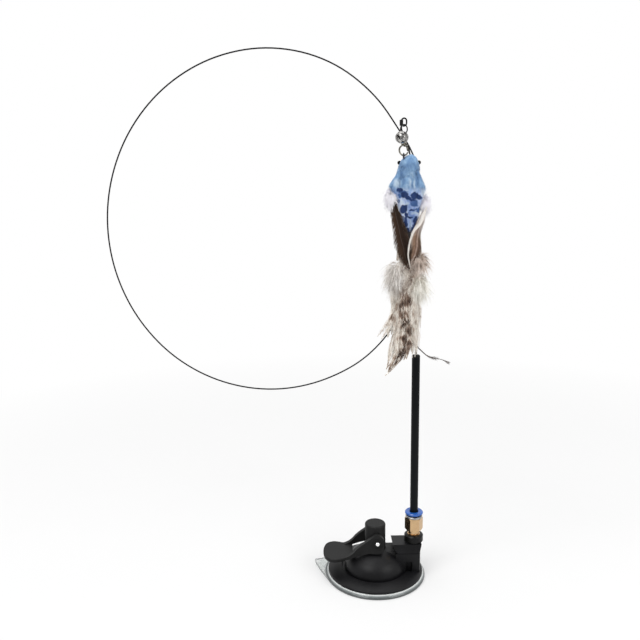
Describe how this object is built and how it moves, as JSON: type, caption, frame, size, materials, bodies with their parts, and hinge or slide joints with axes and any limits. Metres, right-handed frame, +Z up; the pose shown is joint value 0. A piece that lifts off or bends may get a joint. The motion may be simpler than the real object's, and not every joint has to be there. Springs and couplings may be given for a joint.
{
  "type": "cat teaser wand",
  "caption": "Cat teaser wand: lever-locked suction base, push-fit rod, looped spring wire, and a feathered cloth bird with a bell on a swivel clasp.",
  "frame": {"origin": "middle of the suction pad, on the floor it stands on", "axes": "+Z up; +X from the pad's middle towards the rod; the loop and the thumb paddle lie towards -X; the viewer stands at -Y"},
  "size_m": [0.2271, 0.0764, 0.3891],
  "materials": {
    "pad": "soft translucent",
    "cover": "fine moulded grain",
    "post": "fine moulded grain",
    "lever": "fine moulded grain",
    "block": "fine moulded grain",
    "lock_ring": "satin",
    "spring_steel": "plain",
    "pin_steel": "polished",
    "brass": "turned",
    "nickel": "turned",
    "seal": "smooth",
    "collet": "smooth",
    "tube": "satin",
    "plug": "smooth",
    "wire": "satin black",
    "sleeve": "smooth",
    "dark_ring": "black",
    "clasp": "worn nickel",
    "bell": "bright",
    "blue_cloth": "printed plush",
    "bead": "gloss",
    "felt": "felt",
    "cord": "braided",
    "down": "soft down",
    "brown_feather": "feather",
    "tan_feather": "feather",
    "hackle": "mottled feather"
  },
  "bodies": {
    "base": {"suction_pad": "pad", "base_cover": "cover", "return_spring": "spring_steel", "adapter_block": "block", "thread_ring": "lock_ring", "fitting_body": "brass", "fitting_collar": "nickel", "tube_seal": "seal", "grab_ring": "spring_steel"},
    "post": {"lock_post": "post", "lever_pin": "pin_steel"},
    "lever": {"lock_lever": "lever"},
    "collet": {"release_collet": "collet"},
    "wand": {"rod_tube": "tube", "rod_tip_plug": "plug", "wire_ferrule": "brass", "whip_wire": "wire", "wire_end_sleeve": "sleeve"},
    "link_ring": {"split_ring": "dark_ring"},
    "swivel": {"swivel_eye": "clasp"},
    "clasp": {"clasp_body": "clasp", "gate_pin": "pin_steel"},
    "gate": {"clasp_gate": "clasp"},
    "bell": {"bell_shell": "bell", "bell_loop": "bell"},
    "ball": {"bell_ball": "spring_steel"},
    "toy": {"bird_body": "blue_cloth", "bird_head": "blue_cloth", "bird_wing_left": "blue_cloth", "bird_wing_right": "blue_cloth", "feather_binding": "felt", "bird_beak": "felt", "bird_loop": "cord", "white_puff_left": "down", "white_puff_right": "down", "brown_feather_left": "brown_feather", "brown_feather_right": "tan_feather", "hackle_front": "hackle", "hackle_upper_left": "hackle", "hackle_upper_right": "hackle", "hackle_lower_left": "hackle", "hackle_middle": "hackle", "hackle_back": "hackle", "bird_eyes": "bead"}
  },
  "joints": [
    {"name": "post_slide", "type": "slide", "parent": "base", "child": "post", "axis": [0, 0, 1], "range_m": [-0.0018, 0], "deforming": ["suction_pad", "return_spring"]},
    {"name": "lever_hinge", "type": "hinge", "parent": "post", "child": "lever", "pos_m": [0.001, 0, 0.03], "axis": [0, 1, 0], "range_deg": [0, 95]},
    {"name": "collet_press", "type": "slide", "parent": "base", "child": "collet", "axis": [0, 0, -1], "range_m": [0, 0.0009], "stiffness_N_per_m": 400},
    {"name": "rod_swivel", "type": "hinge", "parent": "base", "child": "wand", "pos_m": [0.0297, 0, 0.045], "axis": [0, 0, 1], "continuous": true},
    {"name": "ring_swing", "type": "hinge", "parent": "wand", "child": "link_ring", "pos_m": [0.01596, -0.02809, 0.335], "axis": [-0.8192, 0.5736, 0], "range_deg": [0, 40]},
    {"name": "eye_swing", "type": "hinge", "parent": "link_ring", "child": "swivel", "pos_m": [0.01596, -0.02809, 0.32957], "axis": [-0.8192, -0.5736, 0], "range_deg": [-6, 11]},
    {"name": "clasp_spin", "type": "hinge", "parent": "swivel", "child": "clasp", "pos_m": [0.01596, -0.02809, 0.32557], "axis": [0, 0, 1], "continuous": true},
    {"name": "gate_hinge", "type": "hinge", "parent": "clasp", "child": "gate", "pos_m": [0.01796, -0.02809, 0.32267], "axis": [0, 1, 0], "range_deg": [0, 20], "stiffness_Nm_per_rad": 0.002, "springref_deg": -11.46},
    {"name": "bell_swing", "type": "hinge", "parent": "link_ring", "child": "bell", "pos_m": [0.01463, -0.02943, 0.33032], "axis": [-0.6848, -0.3103, 0.6593], "range_deg": [0, 40]},
    {"name": "ball_roll", "type": "slide", "parent": "bell", "child": "ball", "axis": [0.1206, 0.8441, 0.5225], "range_m": [0, 0.002]},
    {"name": "toy_swing", "type": "hinge", "parent": "clasp", "child": "toy", "pos_m": [0.01596, -0.02809, 0.31563], "axis": [-1, 0, 0], "range_deg": [0, 40]}
  ],
  "couplings": [
    {"joint": "lever_hinge", "follows": "post_slide", "rad_per_m": -921.15}
  ]
}
